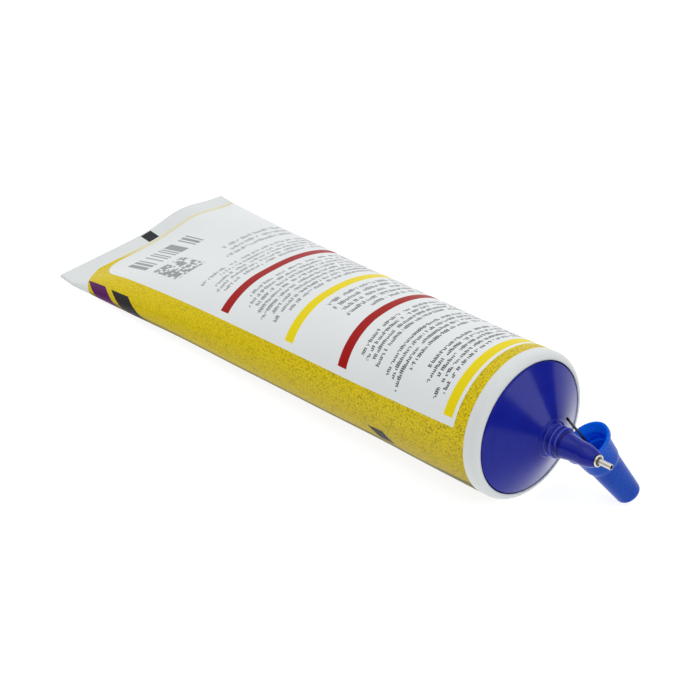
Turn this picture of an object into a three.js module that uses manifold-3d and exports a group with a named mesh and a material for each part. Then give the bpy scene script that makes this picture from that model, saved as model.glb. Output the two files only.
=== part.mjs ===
// A tube of glue lying on its flat underside, with its cap taken off and leaning on the nozzle.
// Millimetres, +Z up. The floor is z = 0, and +X runs from the welded tail towards the nozzle.
// The tube's axis is the local X of its group, with x = 0 in the plane of the sleeve's rim.

import * as THREE from 'three';
import { mergeVertices } from 'three/addons/utils/BufferGeometryUtils.js';
import Module from 'manifold-3d';

// Sleeve: a round plastic tube, rolled in at the head, swollen by the glue and welded flat at the tail
const TUBE_DIAMETER = 40;
const SLEEVE_LENGTH = 157.5;
const TOP_SWELL = 3.7;
const TOP_SWELL_AT = 0.6;
const TOP_FLATTENS_FROM = 0.5;
const UNDERSIDE_FLATNESS = 0.8;
const SLEEVE_WALL = 0.5;
const RIM_ROUND = 2;
const SEAL_LENGTH = 6;
const SEAL_THICKNESS = 1;
const CAVITY_END_HALF_THICKNESS = 0.3;

// Head: shoulder cone, threaded neck and nozzle in one moulding
const SHOULDER_HEIGHT = 7.85;
const SHOULDER_WALL = 1.2;
const SKIRT_LENGTH = 2.5;
const NECK_RADIUS = 3.7;
const NECK_LENGTH = 4.05;
const NECK_FILLET = 1.1;
const THREAD_HEIGHT = 0.57;
const THREAD_PITCH = 1.45;
const THREAD_START_ANGLE = THREE.MathUtils.degToRad(180);
const NOZZLE_LENGTH = 9.9;
const NOZZLE_WAIST_AT = 5.6;
const NOZZLE_BASE_RADIUS = 3.6;
const NOZZLE_WAIST_RADIUS = 2.95;
const NOZZLE_TIP_RADIUS = 1.85;
const NOZZLE_BORE_RADIUS = 1.4;

// Metal tip: a dished ferrule with a stem in the nozzle's bore, and the needle that it holds
const FERRULE_RADIUS = 1.6;
const FERRULE_THICKNESS = 0.55;
const FERRULE_DISH = 0.25;
const FERRULE_LIP = 0.3;
const FERRULE_STEM = 4;
const NEEDLE_RADIUS = 0.75;
const NEEDLE_BORE_RADIUS = 0.42;
const NEEDLE_REACH = 4.5;

// Cap: a tapered shell with a wider skirt and a flared lip, and the steel pin that keeps the needle clear
const CAP_WALL = 1;
const CAP_END_WALL = 1.3;
const CAP_END_CLEARANCE = 1.9;
const CAP_THREAD_CLEARANCE = 0.35;
const CAP_LEDGE_CLEARANCE = 0.35;
const CAP_SKIRT_WALL = 0.88;
const CAP_SKIRT_LENGTH = 8.8;
const CAP_SKIRT_TAPER = 0.78;
const CAP_SKIRT_STEP = 0.45;
const CAP_SKIRT_BEVEL = 1;
const CAP_LIP_FLARE = 0.95;
const CAP_LIP_LENGTH = 1.6;
const CAP_LIP_BEVEL = 0.4;
const CAP_LIP_WALL = 0.6;
const CAP_TIP_RADIUS = 3.3;
const CAP_TIP_ROUND = 1;
const CAP_BOSS_RADIUS = 1.1;
const CAP_BOSS_HEIGHT = 1.4;
const PIN_REACH = 9.3;
const PIN_SEAT_DEPTH = 0.7;
const PIN_NOSE = 0.15;

// Where the cap stands: its foot ahead of the rim, and how far its axis leans from upright
const CAP_FOOT_AHEAD = 18.1;
const CAP_LEAN_SIDEWAYS = THREE.MathUtils.degToRad(27.5);
const CAP_LEAN_BACK = THREE.MathUtils.degToRad(22.5);

// Clearances
const FIT_GAP = 0.3;
const NEEDLE_GAP = 0.15;
const PIN_RUNNING_GAP = 0.075;
const CAP_REST_GAP = 0.5;

// Fineness of round shapes
const SLEEVE_STEPS = 20;
const WEDGE_RINGS = 12;
const ROUND_SEGMENTS = 40;
const SMALL_SEGMENTS = 20;
const ARC_STEPS = 4;
const THREAD_STEPS_PER_TURN = 20;
const THREAD_SIDES = 8;
const SEAT_TOLERANCE = 0.01;

// Finishes
const WHITE_FILM = { color: 0xe3e4e2, roughness: 0.35, metalness: 0 };
const INDIGO_PLASTIC = { color: 0x20248c, roughness: 0.3, metalness: 0 };
const BLUE_PLASTIC = { color: 0x1f45b4, roughness: 0.3, metalness: 0 };
const PLATED_METAL = { color: 0xc9c4bb, roughness: 0.25, metalness: 1 };
const STEEL_WIRE = { color: 0x8f8f92, roughness: 0.3, metalness: 1 };
const CLEAR_GLUE = { color: 0xe9e7df, roughness: 0.1, metalness: 0 };

// Sizes that follow from the ones above
const tubeRadius = TUBE_DIAMETER / 2;
const sealHalf = SEAL_THICKNESS / 2;
const flatHalfWidth = (Math.PI / 2) * (tubeRadius - sealHalf);
const wedgeStart = -RIM_ROUND;
const wedgeEnd = -(SLEEVE_LENGTH - SEAL_LENGTH);
const tilt = Math.atan2(tubeRadius - sealHalf, wedgeStart - wedgeEnd);
const sealDirection = new THREE.Vector3(-Math.cos(tilt), 0, Math.sin(tilt));
const lipRadius = tubeRadius - RIM_ROUND;
const shoulderRadius = lipRadius - FIT_GAP;
const skirtEnd = wedgeStart - SKIRT_LENGTH;
const threadCrest = NECK_RADIUS + THREAD_HEIGHT;
const threadStart = SHOULDER_HEIGHT + THREAD_HEIGHT;
const threadTurns = (NECK_LENGTH - 2 * THREAD_HEIGHT) / THREAD_PITCH;
const nozzleStart = SHOULDER_HEIGHT + NECK_LENGTH;
const nozzleTip = nozzleStart + NOZZLE_LENGTH;
const stemEnd = nozzleTip - FERRULE_STEM;
const needleTip = nozzleTip + NEEDLE_REACH;
const capBoreRadius = threadCrest + CAP_THREAD_CLEARANCE;
const capThroatRadius = NOZZLE_BASE_RADIUS + FIT_GAP;
const capSkirtRadius = capBoreRadius + CAP_SKIRT_WALL;
const capLipRadius = capSkirtRadius + CAP_LIP_FLARE;
const capDepth = NECK_LENGTH + NOZZLE_LENGTH + NEEDLE_REACH + CAP_END_CLEARANCE;
const capLength = CAP_END_WALL + capDepth;
const capLedge = capLength - NECK_LENGTH - CAP_LEDGE_CLEARANCE;
const capSkirtBase = capLength - CAP_SKIRT_LENGTH;
const capLipBase = capLength - CAP_LIP_LENGTH;
const capTaperRadius = capSkirtRadius - CAP_SKIRT_TAPER - CAP_SKIRT_STEP;
const pinRadius = NEEDLE_BORE_RADIUS - PIN_RUNNING_GAP;

// The shoulder's cone: the height of its outer face at a radius, and its wall measured along the axis
const coneDrop = shoulderRadius - NECK_RADIUS;
const coneHeightAt = (radius) => (SHOULDER_HEIGHT * (shoulderRadius - radius)) / coneDrop;
const alongAxis = (thickness) => (thickness * Math.hypot(SHOULDER_HEIGHT, coneDrop)) / coneDrop;

// The tapering part: how far along it a place is, and the depth of its underside below the axis there
const wedgeFraction = (x) => (wedgeStart - x) / (wedgeStart - wedgeEnd);
const depthAt = (x) => THREE.MathUtils.lerp(tubeRadius, sealHalf, wedgeFraction(x));
const wedgeXAt = (depth) =>
  THREE.MathUtils.mapLinear(depth, tubeRadius, sealHalf, wedgeStart, wedgeEnd);

// How far the glue lifts the top, most at TOP_SWELL_AT of the way, and how flat the top and underside are
const swellPower = TOP_SWELL_AT / (1 - TOP_SWELL_AT);
const swellAt = (share) =>
  (TOP_SWELL * (share / TOP_SWELL_AT) ** swellPower * (1 - share)) / (1 - TOP_SWELL_AT);
const topFlatnessAt = (share) =>
  (Math.max(share - TOP_FLATTENS_FROM, 0) / (1 - TOP_FLATTENS_FROM)) ** 2;
const undersideFlatnessAt = (share) => THREE.MathUtils.lerp(UNDERSIDE_FLATNESS, 1, share ** 3);

const skirtRadius = depthAt(skirtEnd) - SLEEVE_WALL - FIT_GAP;
const skirtBoreRadius = skirtRadius - SHOULDER_WALL;

// One cross-section of the sleeve: two round sides, and between them a stretch that is arched or flat
function section(x, { depth, height, halfStraight, topFlatness, undersideFlatness }) {
  const ring = [];
  for (const side of [1, -1]) {
    for (let step = 0; step <= SLEEVE_STEPS; step += 1) {
      const angle = -Math.PI / 2 + (Math.PI * step) / SLEEVE_STEPS;
      const across = Math.cos(angle);
      const rise = side * Math.sin(angle);
      const flatness = rise > 0 ? topFlatness : undersideFlatness;
      const straight = halfStraight * THREE.MathUtils.lerp(across, 1, flatness);
      ring.push(new THREE.Vector3(x, side * (depth * across + straight), rise * (rise > 0 ? height : depth)));
    }
  }
  return ring;
}

// A section of the tapering part, set in from the sleeve's outside
function wedgeSection(x, inset) {
  const share = wedgeFraction(x);
  const depth = depthAt(x) - inset;
  return section(x, {
    depth,
    height: depth + swellAt(share),
    halfStraight: share * flatHalfWidth,
    topFlatness: topFlatnessAt(share),
    undersideFlatness: undersideFlatnessAt(share),
  });
}

function wedgeSections(fromX, toX, inset) {
  const rings = [];
  for (let ring = 0; ring <= WEDGE_RINGS; ring += 1) {
    rings.push(wedgeSection(THREE.MathUtils.lerp(fromX, toX, ring / WEDGE_RINGS), inset));
  }
  return rings;
}

function circle(x, radius) {
  return section(x, { depth: radius, height: radius, halfStraight: 0, topFlatness: 0, undersideFlatness: 0 });
}

// A closed body skinned over a row of rings, with a flat face at each end of the row
function loft(rings) {
  const count = rings[0].length;
  const points = rings.flat();
  const faces = [];
  for (let ring = 0; ring < rings.length - 1; ring += 1) {
    for (let i = 0; i < count; i += 1) {
      const j = (i + 1) % count;
      const a = ring * count;
      const b = a + count;
      faces.push([a + i, a + j, b + j], [a + i, b + j, b + i]);
    }
  }
  const last = (rings.length - 1) * count;
  for (let i = 1; i < count - 1; i += 1) {
    faces.push([0, i + 1, i], [last, last + i, last + i + 1]);
  }
  return closedGeometry(points, faces);
}

// Joins points that coincide, and leaves out the triangles that this flattens to a line
function closedGeometry(points, faces) {
  const loose = new THREE.BufferGeometry().setFromPoints(points);
  loose.setIndex(faces.flat());
  const merged = mergeVertices(loose);
  const index = merged.getIndex().array;
  const kept = [];
  for (let i = 0; i < index.length; i += 3) {
    const [a, b, c] = index.slice(i, i + 3);
    if (a !== b && b !== c && c !== a) {
      kept.push(a, b, c);
    }
  }
  merged.setIndex(kept);
  return merged;
}

// Turns a profile of (radius, place) points about the local X axis
function turnedAboutX(profile, segments) {
  return new THREE.LatheGeometry(profile, segments).rotateZ(-Math.PI / 2);
}

// Turns a profile of (radius, height) points about the local Z axis
function turnedAboutZ(profile, segments) {
  return new THREE.LatheGeometry(profile, segments).rotateX(Math.PI / 2);
}

const at = (radius, place) => new THREE.Vector2(radius, place);

// Points of a round corner about a centre, in (radius, place)
function corner(centre, size, fromAngle, toAngle) {
  const points = [];
  for (let step = 0; step <= ARC_STEPS; step += 1) {
    const angle = THREE.MathUtils.lerp(fromAngle, toAngle, step / ARC_STEPS);
    points.push(at(centre.x + size * Math.cos(angle), centre.y + size * Math.sin(angle)));
  }
  return points;
}

function bend(start, control, end) {
  return new THREE.QuadraticBezierCurve(start, control, end).getPoints(ARC_STEPS);
}

// Boolean join
const manifold = await Module();
manifold.setup();

function toSolid(geometry) {
  const bare = geometry.clone();
  bare.deleteAttribute('normal');
  bare.deleteAttribute('uv');
  const merged = mergeVertices(bare);
  const vertProperties = new Float32Array(merged.getAttribute('position').array);
  const triVerts = new Uint32Array(merged.getIndex().array);
  return new manifold.Manifold(new manifold.Mesh({ numProp: 3, vertProperties, triVerts }));
}

function joined(geometryA, geometryB) {
  const mesh = toSolid(geometryA).add(toSolid(geometryB)).getMesh();
  const geometry = new THREE.BufferGeometry();
  geometry.setAttribute('position', new THREE.BufferAttribute(mesh.vertProperties, 3));
  geometry.setIndex(new THREE.BufferAttribute(mesh.triVerts, 1));
  return geometry;
}

// The sleeve, from its welded tail over the outside to the rolled rim, and back along the inside
function sleeveGeometry() {
  const rimCentre = at(lipRadius, wedgeStart);
  const rimOutside = corner(rimCentre, RIM_ROUND, 0, Math.PI / 2);
  const rimInside = corner(rimCentre, RIM_ROUND - SLEEVE_WALL, Math.PI / 2, 0);
  const cavityEnd = wedgeXAt(Math.max(SLEEVE_WALL + CAVITY_END_HALF_THICKNESS, sealHalf));
  const outside = wedgeSections(wedgeEnd, wedgeStart, 0).slice(0, -1);
  const inside = wedgeSections(wedgeStart, cavityEnd, SLEEVE_WALL).slice(1);
  return loft([
    outside[0].map((point) => point.clone().addScaledVector(sealDirection, SEAL_LENGTH)),
    ...outside,
    ...rimOutside.map((point) => circle(point.y, point.x)),
    ...rimInside.map((point) => circle(point.y, point.x)),
    ...inside,
  ]);
}

// The nozzle's outline: hollowed towards its waist, then rounded to its tip
function nozzleOutline() {
  const waist = at(NOZZLE_WAIST_RADIUS, nozzleStart + NOZZLE_WAIST_AT);
  const hollow = at(NOZZLE_WAIST_RADIUS, nozzleStart + NOZZLE_WAIST_AT / 2);
  const round = at(NOZZLE_WAIST_RADIUS, (waist.y + nozzleTip) / 2);
  return [
    ...bend(at(NOZZLE_BASE_RADIUS, nozzleStart), hollow, waist),
    ...bend(waist, round, at(NOZZLE_TIP_RADIUS, nozzleTip)).slice(1),
  ];
}

function headBodyGeometry() {
  const filletStart = at(NECK_RADIUS + NECK_FILLET, coneHeightAt(NECK_RADIUS + NECK_FILLET));
  const filletCorner = at(NECK_RADIUS, SHOULDER_HEIGHT);
  const filletEnd = at(NECK_RADIUS, SHOULDER_HEIGHT + NECK_FILLET / 2);
  const flangeRound = RIM_ROUND - SLEEVE_WALL - FIT_GAP;
  const coneWall = alongAxis(SHOULDER_WALL);
  const profile = [
    at(skirtRadius, skirtEnd),
    ...corner(at(lipRadius, wedgeStart), flangeRound, 0, Math.PI / 2),
    at(shoulderRadius, wedgeStart + flangeRound),
    at(shoulderRadius, 0),
    ...bend(filletStart, filletCorner, filletEnd),
    at(NECK_RADIUS, nozzleStart),
    ...nozzleOutline(),
    at(NOZZLE_BORE_RADIUS, nozzleTip),
    at(NOZZLE_BORE_RADIUS, coneHeightAt(NOZZLE_BORE_RADIUS) - coneWall),
    at(skirtBoreRadius, coneHeightAt(skirtBoreRadius) - coneWall),
    at(skirtBoreRadius, skirtEnd),
    at(skirtRadius, skirtEnd),
  ];
  return turnedAboutX(profile, ROUND_SEGMENTS);
}

// The neck's right-hand screw thread: a round bead, half sunk in the neck
class ThreadHelix extends THREE.Curve {
  getPoint(t, target = new THREE.Vector3()) {
    const turn = t * threadTurns;
    const angle = THREAD_START_ANGLE + turn * Math.PI * 2;
    const x = threadStart + turn * THREAD_PITCH;
    return target.set(x, NECK_RADIUS * Math.cos(angle), NECK_RADIUS * Math.sin(angle));
  }
}

function threadGeometry() {
  const bead = new THREE.Shape().absarc(0, 0, THREAD_HEIGHT, 0, Math.PI * 2);
  return new THREE.ExtrudeGeometry(bead, {
    curveSegments: THREAD_SIDES,
    steps: Math.ceil(THREAD_STEPS_PER_TURN * threadTurns),
    extrudePath: new ThreadHelix(),
  });
}

// The ferrule: a stem in the nozzle, and a dished flange on the nozzle's end
function ferruleGeometry() {
  const boreRadius = NEEDLE_RADIUS + NEEDLE_GAP;
  const stemRadius = NOZZLE_BORE_RADIUS - NEEDLE_GAP;
  const seat = nozzleTip + NEEDLE_GAP;
  const front = seat + FERRULE_THICKNESS;
  const profile = [
    at(boreRadius, stemEnd),
    at(stemRadius, stemEnd),
    at(stemRadius, seat),
    at(FERRULE_RADIUS, seat),
    at(FERRULE_RADIUS, front),
    at(FERRULE_RADIUS - FERRULE_LIP, front),
    at(boreRadius, front - FERRULE_DISH),
    at(boreRadius, stemEnd),
  ];
  return turnedAboutX(profile, SMALL_SEGMENTS);
}

function needleGeometry() {
  const profile = [
    at(NEEDLE_BORE_RADIUS, stemEnd),
    at(NEEDLE_RADIUS, stemEnd),
    at(NEEDLE_RADIUS, needleTip),
    at(NEEDLE_BORE_RADIUS, needleTip),
    at(NEEDLE_BORE_RADIUS, stemEnd),
  ];
  return turnedAboutX(profile, SMALL_SEGMENTS);
}

// The glue: it fills the sleeve, the shoulder and the nozzle's bore as far as the ferrule
function glueGeometry() {
  const inset = SLEEVE_WALL + FIT_GAP;
  const tailEnd = wedgeXAt(Math.max(inset + CAVITY_END_HALF_THICKNESS, sealHalf));
  const underSkirt = skirtEnd - FIT_GAP;
  const shoulderFill = skirtBoreRadius - FIT_GAP;
  const boreFill = NOZZLE_BORE_RADIUS - FIT_GAP;
  const coneSetBack = alongAxis(SHOULDER_WALL + FIT_GAP);
  return loft([
    ...wedgeSections(tailEnd, underSkirt, inset),
    circle(underSkirt, shoulderFill),
    circle(coneHeightAt(skirtBoreRadius) - coneSetBack, shoulderFill),
    circle(coneHeightAt(NOZZLE_BORE_RADIUS) - coneSetBack, boreFill),
    circle(stemEnd - FIT_GAP, boreFill),
  ]);
}

// The cap's outside, from its closed end up to its mouth
function capOutline() {
  return [
    at(0, 0),
    ...corner(at(CAP_TIP_RADIUS - CAP_TIP_ROUND, CAP_TIP_ROUND), CAP_TIP_ROUND, -Math.PI / 2, 0),
    at(capTaperRadius, capSkirtBase),
    at(capTaperRadius + CAP_SKIRT_STEP, capSkirtBase + CAP_SKIRT_BEVEL),
    at(capSkirtRadius, capLipBase),
    at(capLipRadius, capLipBase + CAP_LIP_BEVEL),
    at(capLipRadius, capLength),
  ];
}

function capGeometry() {
  const seatRadius = pinRadius + NEEDLE_GAP;
  const bossTop = CAP_END_WALL + CAP_BOSS_HEIGHT;
  const profile = [
    ...capOutline(),
    at(capLipRadius - CAP_LIP_WALL, capLength),
    at(capBoreRadius, capLipBase),
    at(capBoreRadius, capLedge),
    at(capThroatRadius, capLedge),
    at(CAP_TIP_RADIUS - CAP_WALL, CAP_END_WALL),
    at(CAP_BOSS_RADIUS, CAP_END_WALL),
    at(CAP_BOSS_RADIUS, bossTop),
    at(seatRadius, bossTop),
    at(seatRadius, CAP_END_WALL - PIN_SEAT_DEPTH),
    at(0, CAP_END_WALL - PIN_SEAT_DEPTH),
  ];
  return turnedAboutZ(profile, ROUND_SEGMENTS);
}

function pinGeometry() {
  const foot = CAP_END_WALL - PIN_SEAT_DEPTH + NEEDLE_GAP;
  const end = capLength + PIN_REACH;
  const profile = [
    at(0, foot),
    at(pinRadius, foot),
    at(pinRadius, end - PIN_NOSE),
    at(pinRadius - PIN_NOSE, end),
    at(0, end),
  ];
  return turnedAboutZ(profile, SMALL_SEGMENTS);
}

function piece(name, geometry, finish) {
  const mesh = new THREE.Mesh(geometry, new THREE.MeshStandardMaterial(finish));
  mesh.name = name;
  return mesh;
}

// The tube leans back so that its flat underside and the weld lie on the floor
const tube = new THREE.Group();
tube.rotation.y = -tilt;
tube.position.z = tubeRadius * Math.cos(tilt) + RIM_ROUND * Math.sin(tilt);
tube.add(
  piece('sleeve', sleeveGeometry(), WHITE_FILM),
  piece('shoulder_nozzle', joined(headBodyGeometry(), threadGeometry()), INDIGO_PLASTIC),
  piece('tip_ferrule', ferruleGeometry(), PLATED_METAL),
  piece('needle_tube', needleGeometry(), PLATED_METAL),
  piece('glue_fill', glueGeometry(), CLEAR_GLUE),
);

// The cap stands on the edge of its closed end, ahead of the tube's rim
const cap = new THREE.Group();
cap.rotation.set(CAP_LEAN_SIDEWAYS, -CAP_LEAN_BACK, 0);
const capAxis = new THREE.Vector3(0, 0, 1).applyEuler(cap.rotation);
const capAxisTilt = Math.acos(capAxis.z);
const reachBelow = (point) => point.x * Math.sin(capAxisTilt) - point.y * capAxis.z;
cap.position.x = tubeRadius * Math.sin(tilt) + CAP_FOOT_AHEAD;
cap.position.z = Math.max(...capOutline().map(reachBelow));
cap.add(
  piece('cap_shell', capGeometry(), BLUE_PLASTIC),
  piece('cap_pin', pinGeometry(), STEEL_WIRE),
);

// The outline of the head that the cap can touch, in (radius, place) along the tube's axis
const headOutline = [
  at(tubeRadius, wedgeStart),
  at(lipRadius, 0),
  at(threadCrest, coneHeightAt(threadCrest)),
  at(threadCrest, nozzleStart),
  ...nozzleOutline(),
  at(FERRULE_RADIUS, nozzleTip + NEEDLE_GAP + FERRULE_THICKNESS),
  at(NEEDLE_RADIUS, needleTip),
];

// Places on the cap that can touch the head, with the pin's thickness round its middle line
function capTouchPoints() {
  const touch = [];
  for (let i = 0; i < ROUND_SEGMENTS * 2; i += 1) {
    const angle = (i * Math.PI) / ROUND_SEGMENTS;
    for (const outline of capOutline()) {
      const point = new THREE.Vector3(outline.x * Math.cos(angle), outline.x * Math.sin(angle), outline.y);
      touch.push({ point, thickness: 0 });
    }
  }
  for (let i = 0; i <= ROUND_SEGMENTS; i += 1) {
    const height = capLength + (PIN_REACH * i) / ROUND_SEGMENTS;
    touch.push({ point: new THREE.Vector3(0, 0, height), thickness: pinRadius });
  }
  return touch;
}

function distanceToStretch(point, start, end) {
  const along = end.clone().sub(start);
  const share = point.clone().sub(start).dot(along) / along.lengthSq();
  return point.distanceTo(start.clone().addScaledVector(along, THREE.MathUtils.clamp(share, 0, 1)));
}

function distanceToHead(point) {
  const flat = at(Math.hypot(point.y, point.z), point.x);
  let least = Infinity;
  for (let i = 0; i < headOutline.length - 1; i += 1) {
    least = Math.min(least, distanceToStretch(flat, headOutline[i], headOutline[i + 1]));
  }
  return least;
}

// The cap comes up to the head from the side by no more than the free space, and stops just clear of it
const touchPoints = capTouchPoints();

function capGapAt(y) {
  cap.position.y = y;
  cap.updateMatrixWorld();
  tube.updateMatrixWorld();
  return Math.min(...touchPoints.map(({ point, thickness }) => {
    const inTube = tube.worldToLocal(cap.localToWorld(point.clone()));
    return distanceToHead(inTube) - thickness;
  }));
}

let capY = TUBE_DIAMETER;
let freeSpace = capGapAt(capY) - CAP_REST_GAP;
while (freeSpace > SEAT_TOLERANCE && capY > 0) {
  capY -= freeSpace;
  freeSpace = capGapAt(capY) - CAP_REST_GAP;
}

// The origin lies on the floor, under the middle of the object
const tailX = wedgeEnd * Math.cos(tilt) - sealHalf * Math.sin(tilt) - SEAL_LENGTH;
const tipX = needleTip * Math.cos(tilt) + NEEDLE_RADIUS * Math.sin(tilt);
const tubeOfGlue = new THREE.Group();
tubeOfGlue.position.x = -(tailX + tipX) / 2;
tubeOfGlue.add(tube, cap);

export default tubeOfGlue;
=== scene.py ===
# A tube of glue on a pale floor, with its cap taken off and leaning on the nozzle.
# Shapes are written in millimetres and become metres when a mesh is made.

import math

import bpy
import numpy as np
from mathutils import Matrix, Quaternion, Vector


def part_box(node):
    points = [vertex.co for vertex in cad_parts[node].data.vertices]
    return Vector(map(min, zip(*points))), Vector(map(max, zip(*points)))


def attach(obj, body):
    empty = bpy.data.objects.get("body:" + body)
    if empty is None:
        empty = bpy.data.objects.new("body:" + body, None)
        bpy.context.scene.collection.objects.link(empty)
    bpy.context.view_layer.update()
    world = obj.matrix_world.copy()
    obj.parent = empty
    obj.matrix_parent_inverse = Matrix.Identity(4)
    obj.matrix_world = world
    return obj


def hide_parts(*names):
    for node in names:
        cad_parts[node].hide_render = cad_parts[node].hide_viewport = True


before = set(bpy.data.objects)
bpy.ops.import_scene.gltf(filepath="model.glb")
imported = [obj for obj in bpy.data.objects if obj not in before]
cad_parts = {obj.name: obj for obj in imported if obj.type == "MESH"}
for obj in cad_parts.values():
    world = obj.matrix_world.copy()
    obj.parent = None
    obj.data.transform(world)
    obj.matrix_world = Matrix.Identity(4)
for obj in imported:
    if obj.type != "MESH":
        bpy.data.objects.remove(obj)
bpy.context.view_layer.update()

MM = 0.001
FULL_TURN = 2 * math.pi

# Sleeve, in millimetres
TUBE_RADIUS = 20.0
SLEEVE_LENGTH = 157.5
TOP_SWELL = 3.7
TOP_SWELL_AT = 0.6
TOP_FLATTENS_FROM = 0.5
UNDERSIDE_FLATNESS = 0.8
SLEEVE_WALL = 0.5
RIM_ROUND = 2.0
SEAL_LENGTH = 6.0
SEAL_HALF = 0.5
SEAL_EDGE = 0.2
CAVITY_END_HALF = 0.3

# Softness of the film: flanks that draw in and wave, and a tail that lifts off the floor
FLANK_DRAW_IN = 0.22
FLANK_AT = 38.0
FLANK_SPREAD = 14.0
FLANK_SOFTENS = (12.0, 40.0)
FLANK_STIFFENS = (120.0, 150.0)
FLANK_WAVE_SHARE = 0.5
LONG_WAVE = (11.0, 23.0)
SHORT_WAVE = (6.3, 17.0)
SHORT_WAVE_SHARE = 0.6
SHORT_WAVE_PHASE = 1.0
TAIL_LIFT = 2.3
TAIL_LIFT_FROM = 118.0
TAIL_LIFT_AT = 15.0
TAIL_LIFT_SPREAD = 10.0
TAIL_LIFT_NEAR_EDGE = -20.0

# Head, with the beads at the neck's root placed from the top of the cone
SHOULDER_HEIGHT = 7.85
SHOULDER_WALL = 1.2
SKIRT_LENGTH = 2.5
NECK_RADIUS = 3.7
NECK_LENGTH = 4.05
NECK_FILLET = 1.1
NECK_MARGIN = 0.2
THREAD_HEIGHT = 0.57
THREAD_PITCH = 1.45
THREAD_BREADTH = 1.05
THREAD_RUN_OUT = 0.12
THREAD_START_ANGLE = math.pi
GROOVE_DEPTH = 0.2
GROOVE_SPREAD = 0.22
GROOVE_SETBACK = 0.1
GROOVE_REACH = 0.5
ROOT_BEAD_HEIGHT = 0.3
ROOT_BEAD_SPREAD = 0.2
ROOT_BEADS = (-0.5, 0.2)
NOZZLE_LENGTH = 9.9
NOZZLE_WAIST_AT = 5.6
NOZZLE_BASE_RADIUS = 3.6
NOZZLE_WAIST_RADIUS = 2.95
NOZZLE_TIP_RADIUS = 1.85
NOZZLE_BORE_RADIUS = 1.4
NOZZLE_LEAD_OUT = 0.05
NOZZLE_LEAD_BACK = 0.1

# Metal tip
FERRULE_RADIUS = 1.6
FERRULE_THICKNESS = 0.55
FERRULE_DISH = 0.25
FERRULE_DISH_FLAT = 0.12
FERRULE_LIP = 0.3
FERRULE_STEM = 4.0
NEEDLE_RADIUS = 0.75
NEEDLE_BORE_RADIUS = 0.42
NEEDLE_REACH = 4.5

# Cap and its pin
CAP_WALL = 1.0
CAP_END_WALL = 1.3
CAP_END_CLEARANCE = 1.9
CAP_THREAD_CLEARANCE = 0.35
CAP_LEDGE_CLEARANCE = 0.35
CAP_SKIRT_WALL = 0.88
CAP_SKIRT_LENGTH = 8.8
CAP_SKIRT_TAPER = 0.78
CAP_SKIRT_STEP = 0.45
CAP_SKIRT_BEVEL = 1.0
CAP_LIP_FLARE = 0.95
CAP_LIP_LENGTH = 1.6
CAP_LIP_BEVEL = 0.4
CAP_LIP_WALL = 0.6
CAP_TIP_RADIUS = 3.3
CAP_TIP_ROUND = 1.0
CAP_BOSS_RADIUS = 1.1
CAP_BOSS_HEIGHT = 1.4
CAP_THREAD_HEIGHT = 0.15
CAP_THREAD_INSET = 0.5
CAP_THREAD_TURNS = 1.4
CAP_LEDGE_MARGIN = 0.1
CAP_BORE_TOLERANCE = 0.02
PIN_REACH = 9.3
PIN_SEAT_DEPTH = 0.7
PIN_RUNNING_GAP = 0.075
CAP_LEAN_SIDEWAYS = math.radians(27.5)
CAP_LEAN_BACK = math.radians(22.5)

# Clearances between pieces
FIT_GAP = 0.3
NEEDLE_GAP = 0.15

# Fineness of the meshes
GIRTH_COLUMNS = 192
SLEEVE_ROWS = 110
SECTION_POINTS = 240
SEAL_ROWS = 8
ROUND_COLUMNS = 128
SMALL_COLUMNS = 48
ARC_POINTS = 8
PROFILE_STEP = 0.35
THREAD_STEP = 0.08
FINE_MARGIN = 0.1
SAME_PLACE = 1e-9

# The printed design, in millimetres along from the rim and around from the middle of the top
PRINT_START = 3.9
PRINT_END = 152.3
PRINT_END_BENDS_FROM = 20.0
PRINT_END_BEND_RATE = 0.22
PRINT_END_BEND_POWER = 1.5
PRINT_END_BEND_LIMIT = 11.0
PANEL_START = 7.7
PANEL_END = 150.9
PANEL_NEAR_EDGE = -24.4
PANEL_FAR_EDGE = 31.0
PANEL_CORNER = 9.0
PRINT_DRIFT = 2.2
PRINT_DRIFTS = (40.0, 150.0)
PRINT_BOW = 2.9
PRINT_BOW_POWER = 1.6
PRINT_BOW_FLANK = (-5.0, -22.0)
PRINT_BOW_GROWS = (9.0, 45.0)
STRIPE_WIDTH = 3.1
STRIPE_ENDS = (-22.2, 27.0)
TAIL_LINE_FADES = (-14.0, -4.0)
TAIL_LINE_SHARE = 0.6

# Plain blocks in the print: their limits along, and their limits around
BAR_BLOCK = ((134.0, 143.0), (-19.0, 3.5))
BARS_PER_MM = 1.7
BAR_GAPS = 0.46
SQUARE_BLOCK = ((119.0, 130.5), (-18.5, -7.5))
SQUARES_PER_MM = 1.3
SQUARE_GAPS = 0.38
SQUARE_CELLS_PER_ROW = 17.0
BLOCK_STRENGTH = 0.65
TAIL_MARK = ((152.6, 156.8), (-1.4, 2.4))

# Camera fitted to the photograph, in millimetres in the part's frame
CAMERA_PLACE = (305.80, -290.48, 332.42)
CAMERA_AIM = (-7.78, 6.99, 0.0)
CAMERA_ROLL = math.radians(0.17)
CAMERA_LENS = 100.51
SENSOR_WIDTH = 36.0

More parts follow.
